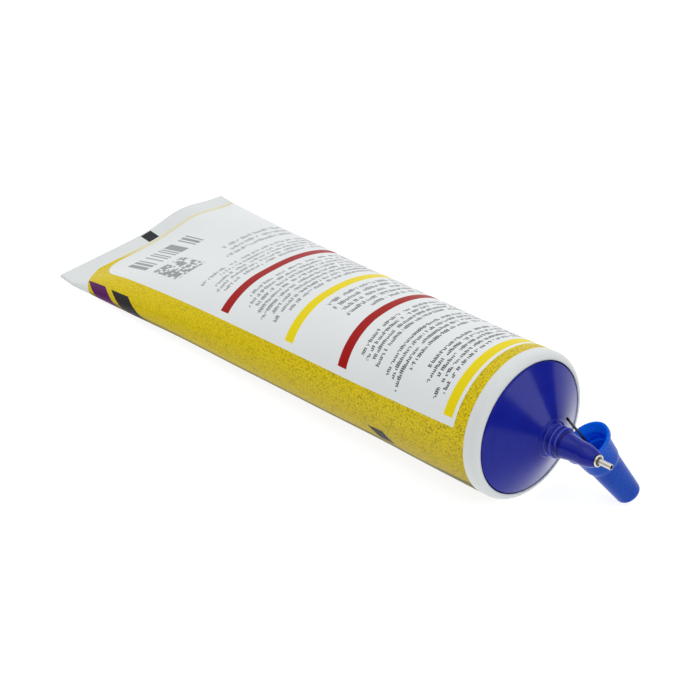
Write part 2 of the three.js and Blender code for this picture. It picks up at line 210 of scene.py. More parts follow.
# Sizes that follow from the ones above
GIRTH_HALF = math.pi * TUBE_RADIUS
FLAT_HALF_WIDTH = (math.pi / 2) * (TUBE_RADIUS - SEAL_HALF)
WEDGE_LENGTH = SLEEVE_LENGTH - SEAL_LENGTH - RIM_ROUND
SWELL_POWER = TOP_SWELL_AT / (1 - TOP_SWELL_AT)
TILT = math.atan2(TUBE_RADIUS - SEAL_HALF, WEDGE_LENGTH)
LIP_RADIUS = TUBE_RADIUS - RIM_ROUND
SHOULDER_RADIUS = LIP_RADIUS - FIT_GAP
THREAD_HALF_WIDTH = THREAD_BREADTH * THREAD_HEIGHT
THREAD_START = SHOULDER_HEIGHT + THREAD_HEIGHT
THREAD_TURNS = (NECK_LENGTH - 2 * THREAD_HEIGHT) / THREAD_PITCH
NOZZLE_START = SHOULDER_HEIGHT + NECK_LENGTH
NOZZLE_TIP = NOZZLE_START + NOZZLE_LENGTH
STEM_END = NOZZLE_TIP - FERRULE_STEM
NEEDLE_TIP = NOZZLE_TIP + NEEDLE_REACH
CAP_BORE_RADIUS = NECK_RADIUS + THREAD_HEIGHT + CAP_THREAD_CLEARANCE
CAP_THROAT_RADIUS = NOZZLE_BASE_RADIUS + FIT_GAP
CAP_SKIRT_RADIUS = CAP_BORE_RADIUS + CAP_SKIRT_WALL
CAP_LIP_RADIUS = CAP_SKIRT_RADIUS + CAP_LIP_FLARE
CAP_LENGTH = CAP_END_WALL + NECK_LENGTH + NOZZLE_LENGTH + NEEDLE_REACH + CAP_END_CLEARANCE
CAP_LEDGE = CAP_LENGTH - NECK_LENGTH - CAP_LEDGE_CLEARANCE
CAP_SKIRT_BASE = CAP_LENGTH - CAP_SKIRT_LENGTH
CAP_LIP_BASE = CAP_LENGTH - CAP_LIP_LENGTH
CAP_TAPER_RADIUS = CAP_SKIRT_RADIUS - CAP_SKIRT_TAPER - CAP_SKIRT_STEP
PIN_RADIUS = NEEDLE_BORE_RADIUS - PIN_RUNNING_GAP
PIN_TIP = CAP_LENGTH + PIN_REACH


def smooth_step(low, high, value):
    share = np.clip((value - low) / (high - low), 0, 1)
    return share * share * (3 - 2 * share)


def hump(value, middle, spread):
    return np.exp(-(((value - middle) / spread) ** 2))


# Outlines: corners are (radius, place, rounding), and each rounded corner becomes a short curve
def rounded(corners, closed):
    points = []
    count = len(corners)
    for i, (radius, place, rounding) in enumerate(corners):
        here = np.array((radius, place), float)
        at_end = not closed and i in (0, count - 1)
        if at_end or rounding == 0:
            points.append(here)
            continue
        before = np.array(corners[i - 1][:2], float) - here
        after = np.array(corners[(i + 1) % count][:2], float) - here
        start = here + before * min(rounding / np.linalg.norm(before), 0.5)
        end = here + after * min(rounding / np.linalg.norm(after), 0.5)
        for share in np.linspace(0, 1, ARC_POINTS):
            near = start + (here - start) * share
            far = here + (end - here) * share
            points.append(near + (far - near) * share)
    return points


def arc(radius, place, size, from_angle, to_angle):
    angles = np.linspace(from_angle, to_angle, ARC_POINTS)
    return [np.array((radius + size * math.cos(a), place + size * math.sin(a))) for a in angles]


# Splits the long stretches of an outline, with shorter steps where it carries a thread
def finely(points, closed, thread=None):
    ends = points[1:] + points[:1] if closed else points[1:]
    fine = []
    for start, end in zip(points, ends):
        step = PROFILE_STEP
        if thread and min(start[1], end[1]) < thread[1] and max(start[1], end[1]) > thread[0]:
            step = THREAD_STEP
        count = max(1, math.ceil(np.linalg.norm(end - start) / step))
        fine += [start + (end - start) * k / count for k in range(count)]
    if not closed:
        fine.append(points[-1])
    return np.array(fine)


# How far a screw thread stands out at a place along the axis and an angle round it
def thread_rise(place, angle, start, turns, height):
    turn = (place - start) / THREAD_PITCH - angle / FULL_TURN
    nearest = np.round(turn)
    along = nearest + angle / FULL_TURN
    offset = np.abs(turn - nearest) * THREAD_PITCH / THREAD_HALF_WIDTH
    bead = np.cos(np.clip(offset, 0, 1) * math.pi / 2) ** 2
    run_in = smooth_step(0, THREAD_RUN_OUT, along)
    return height * bead * run_in * smooth_step(0, THREAD_RUN_OUT, turns - along)


# Turns an outline about its axis; returns rings of (along, across, up) and (along, angle, radius)
def turned(profile, columns, rise=None):
    angle = np.linspace(0, FULL_TURN, columns + 1)
    radius = np.repeat(profile[:, :1], columns + 1, axis=1)
    place = np.repeat(profile[:, 1:], columns + 1, axis=1)
    angle = np.repeat(angle[None, :], len(profile), axis=0)
    if rise:
        radius = radius + rise(radius, place, angle % FULL_TURN)
    rings = np.stack([place, radius * np.cos(angle), radius * np.sin(angle)], axis=-1)
    return rings[:, :-1], np.stack([place, angle, radius], axis=-1)


# Skins rings of points into a closed surface, with surface coordinates at each corner of a face
class Skin:
    def __init__(self, rings, places, closed):
        self.points = []
        self.faces = []
        self.places = []
        starts = [self.add_ring(ring) for ring in rings]
        count = len(rings)
        for i in range(count if closed else count - 1):
            j = (i + 1) % count
            self.add_band(starts[i], starts[j], places[i], places[j])
        if not closed:
            self.add_end(starts[0], places[0], True)
            self.add_end(starts[-1], places[-1], False)

    def add_ring(self, ring):
        first = len(self.points)
        if np.ptp(ring, axis=0).max() < SAME_PLACE:
            self.points.append(ring[0])
            return [first] * len(ring)
        self.points.extend(ring)
        return list(range(first, first + len(ring)))

    def add_band(self, lower, upper, lower_places, upper_places):
        columns = len(lower)
        for k in range(columns):
            n = (k + 1) % columns
            corners = [
                (lower[k], lower_places[k]),
                (lower[n], lower_places[k + 1]),
                (upper[n], upper_places[k + 1]),
                (upper[k], upper_places[k]),
            ]
            self.add_face(corners)

    def add_end(self, ring, places, reverse):
        if ring[0] == ring[-1]:
            return
        corners = list(zip(ring, places))
        self.add_face(corners[::-1] if reverse else corners)

    def add_face(self, corners):
        kept = [c for c, after in zip(corners, corners[1:] + corners[:1]) if c[0] != after[0]]
        if len(kept) > 2:
            self.faces.append([index for index, _ in kept])
            self.places.append([place for _, place in kept])

    def volume(self):
        total = 0.0
        for face in self.faces:
            a = self.points[face[0]]
            for b, c in zip(face[1:-1], face[2:]):
                total += np.dot(a, np.cross(self.points[b], self.points[c]))
        return total / 6

    # A mesh object in metres, with the surface coordinates in the corner attribute "place"
    def to_object(self, name, matrix):
        if self.volume() < 0:
            self.faces = [face[::-1] for face in self.faces]
            self.places = [place[::-1] for place in self.places]
        points = np.array(self.points) @ np.array(matrix.to_3x3()).T + np.array(matrix.translation)
        mesh = bpy.data.meshes.new(name)
        mesh.from_pydata((points * MM).tolist(), [], self.faces)
        coordinates = mesh.attributes.new("place", "FLOAT_VECTOR", "CORNER")
        flat = np.concatenate([np.array(place).ravel() for place in self.places])
        coordinates.data.foreach_set("vector", flat)
        mesh.shade_smooth()
        mesh.update()
        piece = bpy.data.objects.new(name, mesh)
        bpy.context.scene.collection.objects.link(piece)
        return piece


# The tube's own frame: x = 0 in the plane of the rim, with the axis rising towards the nozzle
def tube_matrix():
    tip_reach = NEEDLE_TIP * math.cos(TILT) + NEEDLE_RADIUS * math.sin(TILT)
    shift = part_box("needle_tube")[1][0] / MM - tip_reach
    height = TUBE_RADIUS * math.cos(TILT) + RIM_ROUND * math.sin(TILT)
    return Matrix.Translation((shift, 0, height)) @ Matrix.Rotation(-TILT, 4, "Y")


TUBE = tube_matrix()


# Half of one section of the sleeve, from the middle of its top round to the middle of its underside
def half_section(along, inset):
    share = min(max((along - RIM_ROUND) / WEDGE_LENGTH, 0), 1)
    depth = TUBE_RADIUS + (SEAL_HALF - TUBE_RADIUS) * share - inset
    swell = TOP_SWELL * (share / TOP_SWELL_AT) ** SWELL_POWER * (1 - share) / (1 - TOP_SWELL_AT)
    top_flatness = (max(share - TOP_FLATTENS_FROM, 0) / (1 - TOP_FLATTENS_FROM)) ** 2
    under_flatness = UNDERSIDE_FLATNESS + (1 - UNDERSIDE_FLATNESS) * share ** 3
    angle = np.linspace(math.pi / 2, -math.pi / 2, SECTION_POINTS)
    upper = angle > 0
    flatness = np.where(upper, top_flatness, under_flatness)
    cosine = np.cos(angle)
    across = depth * cosine + share * FLAT_HALF_WIDTH * (cosine + (1 - cosine) * flatness)
    up = np.sin(angle) * np.where(upper, depth + swell, depth)
    across = np.concatenate([[0], across, [0]])
    return across, np.concatenate([up[:1], up, up[-1:]])


# Places on a section, spread evenly round its girth
def sleeve_section(along, inset, around):
    across, up = half_section(along, inset)
    travel = np.concatenate([[0], np.cumsum(np.hypot(np.diff(across), np.diff(up)))])
    reach = np.abs(around) / GIRTH_HALF * travel[-1]
    return np.sign(around) * np.interp(reach, travel, across), np.interp(reach, travel, up)


# The film is soft, and its flanks draw in and wave a little
def flank_draw(along, around):
    soft = smooth_step(*FLANK_SOFTENS, along) * (1 - smooth_step(*FLANK_STIFFENS, along))
    flank = hump(np.abs(around), FLANK_AT, FLANK_SPREAD) * soft
    wave = np.sin(along / LONG_WAVE[0] + around / LONG_WAVE[1])
    ripple = np.sin(along / SHORT_WAVE[0] - SHORT_WAVE_PHASE + around / SHORT_WAVE[1])
    return -FLANK_DRAW_IN * flank * (1 + FLANK_WAVE_SHARE * (wave + SHORT_WAVE_SHARE * ripple))


# The welded tail lifts off the floor on the far side
def tail_lift(along, around):
    tail = smooth_step(TAIL_LIFT_FROM, SLEEVE_LENGTH, along)
    lifted = hump(around, TAIL_LIFT_AT, TAIL_LIFT_SPREAD) * (around > TAIL_LIFT_NEAR_EDGE)
    return TAIL_LIFT * tail * lifted


# One row of the sleeve; its underside lifts with the top above it
def sleeve_row(along, inset, around):
    across, up = sleeve_section(along, inset, around)
    past_wedge = max(along - SLEEVE_LENGTH + SEAL_LENGTH, 0)
    x = -(along - past_wedge) - past_wedge * math.cos(TILT)
    up = up + past_wedge * math.sin(TILT)
    folded = np.where(np.abs(around) > GIRTH_HALF / 2, np.sign(around) * GIRTH_HALF - around, around)
    across = across * (1 + flank_draw(along, around) / np.maximum(np.abs(across), TUBE_RADIUS))
    return np.stack([np.full_like(across, x), across, up + tail_lift(along, folded)], axis=-1)


def make_sleeve():
    around = np.linspace(-GIRTH_HALF, GIRTH_HALF, GIRTH_COLUMNS + 1)
    seal_start = SLEEVE_LENGTH - SEAL_LENGTH
    cavity_share = (TUBE_RADIUS - SLEEVE_WALL - CAVITY_END_HALF) / (TUBE_RADIUS - SEAL_HALF)
    cavity_end = RIM_ROUND + min(cavity_share, 1) * WEDGE_LENGTH
    outside = [(SLEEVE_LENGTH, SEAL_EDGE), (SLEEVE_LENGTH - SEAL_EDGE / 3, SEAL_EDGE / 3)]
    outside += [(a, 0) for a in np.linspace(SLEEVE_LENGTH - SEAL_EDGE, seal_start, SEAL_ROWS)]
    outside += [(a, 0) for a in np.linspace(seal_start, RIM_ROUND, SLEEVE_ROWS)[1:]]
    inside = [(a, SLEEVE_WALL) for a in np.linspace(RIM_ROUND, cavity_end, SLEEVE_ROWS // 2)]
    rings, places = [], []

    def add(row, along, side):
        rings.append(row[:-1])
        places.append(np.stack([np.full_like(around, along), around, np.full_like(around, side)], axis=-1))

    for along, inset in outside:
        add(sleeve_row(along, inset, around), along, 0)
    angle = around / TUBE_RADIUS
    rim = arc(LIP_RADIUS, -RIM_ROUND, RIM_ROUND, 0, math.pi / 2)[1:]
    rim += arc(LIP_RADIUS, -RIM_ROUND, RIM_ROUND - SLEEVE_WALL, math.pi / 2, 0)[:-1]
    for radius, place in rim:
        row = np.stack([np.full_like(angle, place), radius * np.sin(angle), radius * np.cos(angle)], axis=-1)
        add(row, -place, 0)
    for along, inset in inside:
        add(sleeve_row(along, inset, around), along, 1)
    return Skin(rings, places, False).to_object("printed_sleeve", TUBE)


# The shoulder's cone: the height of its outer face at a radius, and its wall measured along the axis
def cone_height(radius):
    return SHOULDER_HEIGHT * (SHOULDER_RADIUS - radius) / (SHOULDER_RADIUS - NECK_RADIUS)


def along_axis(thickness):
    drop = SHOULDER_RADIUS - NECK_RADIUS
    return thickness * math.hypot(SHOULDER_HEIGHT, drop) / drop


# A curve from start to end that leans towards a control point
def bend(start, control, end):
    start, control, end = (np.array(p, float) for p in (start, control, end))
    shares = np.linspace(0, 1, 2 * ARC_POINTS)
    return [(1 - s) ** 2 * start + 2 * s * (1 - s) * control + s * s * end for s in shares]


def nozzle_outline():
    waist = (NOZZLE_WAIST_RADIUS, NOZZLE_START + NOZZLE_WAIST_AT)
    hollow = (NOZZLE_WAIST_RADIUS, NOZZLE_START + NOZZLE_WAIST_AT / 2)
    swell = (NOZZLE_WAIST_RADIUS, (waist[1] + NOZZLE_TIP) / 2)
    base = bend((NOZZLE_BASE_RADIUS, NOZZLE_START), hollow, waist)
    return base + bend(waist, swell, (NOZZLE_TIP_RADIUS, NOZZLE_TIP))[1:]


def make_head():
    skirt_end = RIM_ROUND + SKIRT_LENGTH
    skirt_share = (skirt_end - RIM_ROUND) / WEDGE_LENGTH
    skirt_outer = TUBE_RADIUS + (SEAL_HALF - TUBE_RADIUS) * skirt_share
    skirt_radius = skirt_outer - SLEEVE_WALL - FIT_GAP
    skirt_bore = skirt_radius - SHOULDER_WALL
    flange = RIM_ROUND - SLEEVE_WALL - FIT_GAP
    cone_wall = along_axis(SHOULDER_WALL)
    fillet_start = NECK_RADIUS + NECK_FILLET
    beads_start = fillet_start + NECK_FILLET
    profile = [np.array((skirt_radius, -skirt_end))]
    profile += arc(LIP_RADIUS, -RIM_ROUND, flange, 0, math.pi / 2)
    profile += rounded([
        (SHOULDER_RADIUS, -RIM_ROUND + flange, 0),
        (SHOULDER_RADIUS, 0, 0.35),
        (beads_start, cone_height(beads_start), 0),
    ], False)
    root_radii = np.linspace(beads_start, fillet_start, 2 * ARC_POINTS)[1:]
    profile += [np.array((radius, cone_height(radius))) for radius in root_radii]
    profile += bend((fillet_start, cone_height(fillet_start)), (NECK_RADIUS, SHOULDER_HEIGHT),
                    (NECK_RADIUS, SHOULDER_HEIGHT + NECK_FILLET / 2))[1:]
    profile += [np.array((NECK_RADIUS, NOZZLE_START))] + nozzle_outline()[:-1]
    profile += rounded([
        (NOZZLE_TIP_RADIUS + NOZZLE_LEAD_OUT, NOZZLE_TIP - NOZZLE_LEAD_BACK, 0),
        (NOZZLE_TIP_RADIUS, NOZZLE_TIP, 0.2),
        (NOZZLE_BORE_RADIUS, NOZZLE_TIP, 0.15),
        (NOZZLE_BORE_RADIUS, cone_height(NOZZLE_BORE_RADIUS) - cone_wall, 0.4),
        (skirt_bore, cone_height(skirt_bore) - cone_wall, 0.4),
        (skirt_bore, -skirt_end, 0),
    ], False)

    def rise(radius, place, angle):
        outside = radius > NECK_RADIUS - NECK_MARGIN
        from_neck = outside & (place > SHOULDER_HEIGHT - NECK_MARGIN)
        on_neck = from_neck & (place < NOZZLE_START + GROOVE_REACH)
        on_root = outside & (place > cone_height(beads_start)) & (place < NOZZLE_START)
        beads = sum(hump(place, SHOULDER_HEIGHT + at, ROOT_BEAD_SPREAD) for at in ROOT_BEADS)
        groove = GROOVE_DEPTH * hump(place, NOZZLE_START - GROOVE_SETBACK, GROOVE_SPREAD)
        turn = (angle - THREAD_START_ANGLE) % FULL_TURN
        thread = thread_rise(place, turn, THREAD_START, THREAD_TURNS, THREAD_HEIGHT)
        return on_neck * (thread - groove) + on_root * ROOT_BEAD_HEIGHT * beads

    fine = finely(profile, True, (SHOULDER_HEIGHT, NOZZLE_START + FINE_MARGIN))
    rings, places = turned(fine, ROUND_COLUMNS, rise)
    return Skin(rings, places, True).to_object("moulded_head", TUBE)


def make_ferrule():
    bore = NEEDLE_RADIUS + NEEDLE_GAP
    stem = NOZZLE_BORE_RADIUS - NEEDLE_GAP
    seat = NOZZLE_TIP + NEEDLE_GAP
    front = seat + FERRULE_THICKNESS
    profile = rounded([
        (bore, STEM_END, 0.05),
        (stem, STEM_END, 0.1),
        (stem, seat, 0.05),
        (FERRULE_RADIUS, seat, 0.2),
        (FERRULE_RADIUS, front, 0.22),
        (FERRULE_RADIUS - FERRULE_LIP, front, 0.14),
        (bore + FERRULE_DISH_FLAT, front - FERRULE_DISH, 0.1),
        (bore, front - FERRULE_DISH, 0.06),
    ], True)
    rings, places = turned(finely(profile, True), SMALL_COLUMNS)
    return Skin(rings, places, True).to_object("dished_ferrule", TUBE)


def make_needle():
    profile = rounded([
        (NEEDLE_BORE_RADIUS, STEM_END, 0.05),
        (NEEDLE_RADIUS, STEM_END, 0.05),
        (NEEDLE_RADIUS, NEEDLE_TIP, 0.14),
        (NEEDLE_BORE_RADIUS, NEEDLE_TIP, 0.08),
    ], True)
    rings, places = turned(finely(profile, True), SMALL_COLUMNS)
    return Skin(rings, places, True).to_object("needle", TUBE)


# The cap's outside, from its closed end up to its mouth
CAP_OUTSIDE = [
    (0, 0, 0),
    (CAP_TIP_RADIUS, 0, 1.2 * CAP_TIP_ROUND),
    (CAP_TAPER_RADIUS, CAP_SKIRT_BASE, 0.5),
    (CAP_TAPER_RADIUS + CAP_SKIRT_STEP, CAP_SKIRT_BASE + CAP_SKIRT_BEVEL, 0.5),
    (CAP_SKIRT_RADIUS, CAP_LIP_BASE, 0.4),
    (CAP_LIP_RADIUS, CAP_LIP_BASE + CAP_LIP_BEVEL, 0.4),
    (CAP_LIP_RADIUS, CAP_LENGTH, 0.25),
]


# The cap's frame: its closed end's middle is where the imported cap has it
def cap_matrix():
    turn = Matrix.Rotation(CAP_LEAN_SIDEWAYS, 4, "X") @ Matrix.Rotation(-CAP_LEAN_BACK, 4, "Y")
    axis = turn @ Vector((0, 0, 1))
    corner = arc(CAP_TIP_RADIUS - CAP_TIP_ROUND, CAP_TIP_ROUND, CAP_TIP_ROUND, -math.pi / 2, 0)
    outline = np.array(corner + [np.array(c[:2]) for c in CAP_OUTSIDE[2:]])

    def reach(k, sign):
        return np.max(sign * outline[:, 1] * axis[k] + outline[:, 0] * math.sqrt(1 - axis[k] ** 2))

    low, high = (np.array(corner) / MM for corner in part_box("cap_shell"))
    foot = (high[0] - reach(0, 1), high[1] - reach(1, 1), low[2] + reach(2, -1))
    return Matrix.Translation(foot) @ turn


CAP = cap_matrix()

# Turned shapes run along x, and the cap's own axis is z
AXIS_UP = Matrix(((0, 1, 0, 0), (0, 0, 1, 0), (1, 0, 0, 0), (0, 0, 0, 1)))


def make_cap():
    seat = PIN_RADIUS + NEEDLE_GAP
    boss_top = CAP_END_WALL + CAP_BOSS_HEIGHT
    profile = rounded(CAP_OUTSIDE + [
        (CAP_LIP_RADIUS - CAP_LIP_WALL, CAP_LENGTH, 0.25),
        (CAP_BORE_RADIUS, CAP_LIP_BASE, 0.5),
        (CAP_BORE_RADIUS, CAP_LEDGE, 0.2),
        (CAP_THROAT_RADIUS, CAP_LEDGE, 0.2),
        (CAP_TIP_RADIUS - CAP_WALL, CAP_END_WALL, 0.4),
        (CAP_BOSS_RADIUS, CAP_END_WALL, 0.3),
        (CAP_BOSS_RADIUS, boss_top, 0.2),
        (seat, boss_top, 0.08),
        (seat, CAP_END_WALL - PIN_SEAT_DEPTH, 0.05),
        (0, CAP_END_WALL - PIN_SEAT_DEPTH, 0),
    ], False)

    def rise(radius, place, angle):
        past_ledge = place > CAP_LEDGE + CAP_LEDGE_MARGIN
        in_bore = past_ledge & (np.abs(radius - CAP_BORE_RADIUS) < CAP_BORE_TOLERANCE)
        start = CAP_LEDGE + CAP_THREAD_INSET
        return -thread_rise(place, angle, start, CAP_THREAD_TURNS, CAP_THREAD_HEIGHT) * in_bore

    fine = finely(profile, False, (CAP_LEDGE, CAP_LENGTH - FINE_MARGIN))
    rings, places = turned(fine, ROUND_COLUMNS, rise)
    return Skin(rings, places, False).to_object("screw_cap", CAP @ AXIS_UP)


def make_pin():
    foot = CAP_END_WALL - PIN_SEAT_DEPTH + NEEDLE_GAP
    profile = rounded([
        (0, foot, 0),
        (PIN_RADIUS, foot, 0.06),
        (PIN_RADIUS, PIN_TIP, 0.2),
        (0, PIN_TIP, 0),
    ], False)
    rings, places = turned(finely(profile, False), SMALL_COLUMNS // 2)
    return Skin(rings, places, False).to_object("cleaning_pin", CAP @ AXIS_UP)


# Colours of the photograph are given as sRGB, and shaders take linear values
def colour(red, green, blue):
    def linear(value):
        value /= 255
        return value / 12.92 if value <= 0.04045 else ((value + 0.055) / 1.055) ** 2.4
    return (linear(red), linear(green), linear(blue), 1.0)


WHITE_FILM = colour(230, 233, 233)
PAPER_WHITE = colour(224, 228, 229)
BARE_FILM_DARK = colour(216, 220, 220)
BARE_FILM_LIGHT = colour(224, 227, 227)
GLITTER_YELLOW = colour(216, 192, 8)
GLITTER_DARK = colour(146, 124, 6)
GLITTER_LIGHT = colour(238, 216, 24)
# Olive of the painted shade down the flanks
FLANK_PAINTED_SHADE_OLIVE = colour(158, 138, 8)
# Darker olive of the painted shade along the underside
UNDERSIDE_PAINTED_SHADE_OLIVE = colour(78, 70, 14)
STRIPE_YELLOW = colour(233, 212, 0)
STRIPE_RED = colour(161, 3, 3)
INK_GREY = colour(66, 70, 76)
INK_BLACK = colour(40, 42, 44)
BAND_PURPLE = colour(86, 26, 88)
BAND_CHARCOAL = colour(44, 42, 42)
HEAD_BLUE_DARK = colour(17, 28, 138)
HEAD_BLUE_LIGHT = colour(22, 33, 146)
# Painted highlight on the thread's crests, and painted shade in its grooves
THREAD_CREST_PAINTED_HIGHLIGHT = colour(70, 82, 190)
THREAD_GROOVE_PAINTED_SHADE = colour(6, 10, 88)
CAP_BLUE_DARK = colour(2, 66, 168)
CAP_BLUE_LIGHT = colour(8, 74, 178)
# Painted glow of the cap's inside, lip and skirt
CAP_PAINTED_GLOW = colour(6, 114, 238)
METAL_DARK = colour(196, 192, 184)
METAL_LIGHT = colour(230, 226, 218)
# Painted shade in the ferrule's dish and in the bore
DISH_PAINTED_SHADE = colour(82, 76, 70)
BORE_PAINTED_SHADE = colour(8, 8, 8)
WIRE_DARK = colour(64, 64, 66)
WIRE_LIGHT = colour(122, 120, 118)
WIRE_END = colour(14, 14, 14)
GLUE_DARK = colour(224, 220, 208)
GLUE_LIGHT = colour(240, 238, 230)
FLOOR_DARK = colour(150, 150, 151)
FLOOR_LIGHT = colour(156, 156, 156)

# A noise is given by its scale and its detail, and most of its values lie in this range
NOISE_RANGE = (0.3, 0.7)


# One procedural material, with short calls that add a node and return its output
class Shader:
    def __init__(self, name, **sockets):
        self.material = bpy.data.materials.new(name)
        self.material.use_nodes = True
        self.tree = self.material.node_tree
        self.surface = self.tree.nodes["Principled BSDF"]
        for socket, value in sockets.items():
            self.set(socket.replace("_", " "), value)

    def feed(self, socket, value):
        if isinstance(value, bpy.types.NodeSocket):
            self.tree.links.new(value, socket)
        else:
            socket.default_value = value

    def set(self, socket, value):
        self.feed(self.surface.inputs[socket], value)

    def node(self, kind, *inputs, **settings):
        node = self.tree.nodes.new(kind)
        for key, value in settings.items():
            setattr(node, key, value)
        for socket, value in zip(node.inputs, inputs):
            if value is not None:
                self.feed(socket, value)
        return node

    def math(self, operation, *values):
        return self.node("ShaderNodeMath", *values, operation=operation).outputs[0]

    def times(self, value, factor):
        return self.math("MULTIPLY", value, factor)

    def place(self):
        attribute = self.node("ShaderNodeAttribute", attribute_name="place")
        split = self.node("ShaderNodeSeparateXYZ", attribute.outputs["Vector"])
        return split.outputs[0], split.outputs[1], split.outputs[2]

    def vector(self, x, y, z):
        return self.node("ShaderNodeCombineXYZ", x, y, z).outputs[0]

    # Object coordinates in millimetres
    def solid_place(self):
        place = self.node("ShaderNodeTexCoord").outputs["Object"]
        scale = self.node("ShaderNodeVectorMath", place, operation="SCALE")
        scale.inputs["Scale"].default_value = 1 / MM
        return scale.outputs[0]

    def noise(self, vector, scale, detail):
        node = self.node("ShaderNodeTexNoise")
        self.feed(node.inputs["Vector"], vector)
        self.feed(node.inputs["Scale"], scale)
        self.feed(node.inputs["Detail"], detail)
        return node.outputs[0]

    def random(self, value):
        return self.node("ShaderNodeTexWhiteNoise", None, value, noise_dimensions="1D").outputs[0]

    def remap(self, value, low, high, new_low, new_high):
        return self.node("ShaderNodeMapRange", value, low, high, new_low, new_high).outputs[0]

    def stretch(self, noise, low, high):
        return self.remap(noise, *NOISE_RANGE, low, high)

    def mix(self, share, first, second):
        node = self.node("ShaderNodeMix", data_type="RGBA")
        for index, value in ((0, share), (6, first), (7, second)):
            self.feed(node.inputs[index], value)
        return node.outputs[2]

    def bump(self, height, depth):
        node = self.node("ShaderNodeBump")
        self.feed(node.inputs["Height"], height)
        self.feed(node.inputs["Distance"], depth * MM)
        self.set("Normal", node.outputs[0])

    # Masks run from 0, where they don't hold, to 1, where they do
    def between(self, value, low, high):
        above = self.math("GREATER_THAN", value, low)
        return self.times(above, self.math("LESS_THAN", value, high))

    def block(self, first, second, limits):
        return self.times(self.between(first, *limits[0]), self.between(second, *limits[1]))

    def both(self, *masks):
        result = masks[0]
        for mask in masks[1:]:
            result = self.times(result, mask)
        return result

    def either(self, *masks):
        result = masks[0]
        for mask in masks[1:]:
            result = self.math("MAXIMUM", result, mask)
        return result


# Printed glitter: yellow flakes between soft olive worm-like lines, clearest near the head. Painted shade
# darkens the flanks towards the underside, and a darker painted-shade band runs along the underside near its
# edge
GLITTER_LINE_NOISE = (0.95, 1.0)
GLITTER_LINE_WIDTH = 0.06
GLITTER_FLAKE_NOISE = (2.2, 2.0)
GLITTER_FLAKES = (0.48, 0.7)
GLITTER_FADES = (30.0, 120.0)
GLITTER_STRENGTH = (0.8, 0.35)
FLANK_PAINTED_SHADE_SPAN = (27.0, 40.0)
FLANK_PAINTED_SHADE_SHARE = 0.6
UNDERSIDE_ALONG = (20.0, 130.0)
UNDERSIDE_EDGE = (40.2, 30.8)
UNDERSIDE_BLUR = 1.2
UNDERSIDE_PAINTED_SHADE_SHARE = 0.85


def glitter(shader, along, around):
    flat = shader.vector(along, around, 0.0)
    wander = shader.noise(flat, *GLITTER_LINE_NOISE)
    valley = shader.math("ABSOLUTE", shader.math("SUBTRACT", wander, 0.5))
    lines = shader.remap(valley, 0.0, GLITTER_LINE_WIDTH, 1.0, 0.0)
    flakes = shader.noise(flat, *GLITTER_FLAKE_NOISE)
    bright = shader.remap(flakes, *GLITTER_FLAKES, 0.0, 1.0)
    ground = shader.mix(bright, GLITTER_YELLOW, GLITTER_LIGHT)
    strength = shader.remap(along, *GLITTER_FADES, *GLITTER_STRENGTH)
    ground = shader.mix(shader.times(lines, strength), ground, GLITTER_DARK)
    side = shader.math("ABSOLUTE", around)
    # Painted shade: the ground darkens to olive down each flank
    shade = shader.remap(side, *FLANK_PAINTED_SHADE_SPAN, 0.0, FLANK_PAINTED_SHADE_SHARE)
    ground = shader.mix(shade, ground, FLANK_PAINTED_SHADE_OLIVE)
    # Painted shade: a dark olive band along the underside's edge, where the tube meets the floor
    past_edge = shader.math("SUBTRACT", side, shader.remap(along, *UNDERSIDE_ALONG, *UNDERSIDE_EDGE))
    underside_painted_shade = shader.remap(past_edge, 0.0, UNDERSIDE_BLUR, 0.0, UNDERSIDE_PAINTED_SHADE_SHARE)
    return shader.mix(underside_painted_shade, ground, UNDERSIDE_PAINTED_SHADE_OLIVE)


# Rows of strokes that stand for small print: start, number of rows, pitch, near end, far end, seed
TEXT_BLOCKS = (
    (13.4, 5, 2.05, -20.5, 26.0, 11),
    (26.6, 4, 2.15, -22.0, 24.0, 19),
    (37.2, 4, 2.1, -22.0, 25.0, 29),
    (53.4, 5, 2.7, -9.0, 22.0, 37),
    (74.4, 8, 2.3, -21.0, 23.0, 43),
    (100.4, 5, 2.25, -18.5, 25.0, 59),
    (115.0, 3, 3.2, -3.0, 24.0, 71),
)
ROW_RAGGEDNESS = 8.0
ROW_SHIFT = 7.31
WORDS_PER_MM = 0.45
WORD_GAPS = 0.38
INK_FADES = (20.0, 120.0)
INK_STRENGTH = (0.95, 0.6)

# A stroke's width and heights are shares of its cell and row, and joins and gaps are shares of all strokes
STROKES_PER_MM = 1.7
STROKE_CELLS_PER_ROW = 131.0
STROKE_ROW_SHIFT = 0.37
STROKE_WIDTH = 0.6
STROKE_GAPS = 0.15
STROKE_TOP = 0.5
STROKE_TOP_VARIES = 0.3
STROKE_FOOT = (0.18, 0.32)
STROKE_HEAD = (0.48, 0.62)
FOOT_FREE = 0.55
HEAD_FREE = 0.5


def small_print(shader, along, around):
    blocks = []
    for start, rows, pitch, near_end, far_end, seed in TEXT_BLOCKS:
        line = shader.math("DIVIDE", shader.math("SUBTRACT", along, start), pitch)
        row = shader.math("ADD", shader.math("FLOOR", line), seed)
        height = shader.math("FRACT", line)
        ragged = shader.math("MULTIPLY_ADD", shader.random(row), ROW_RAGGEDNESS, near_end)
        run = shader.both(
            shader.between(line, 0.0, float(rows)),
            shader.math("GREATER_THAN", around, ragged),
            shader.math("LESS_THAN", around, far_end),
        )
        travel = shader.math("MULTIPLY_ADD", row, ROW_SHIFT, shader.times(around, WORDS_PER_MM))
        spell = shader.noise(shader.vector(travel, seed, 0.0), 1.0, 0.0)
        words = shader.math("GREATER_THAN", spell, WORD_GAPS)
        blocks.append(shader.both(run, words, strokes(shader, around, row, height)))
    return shader.either(*blocks)


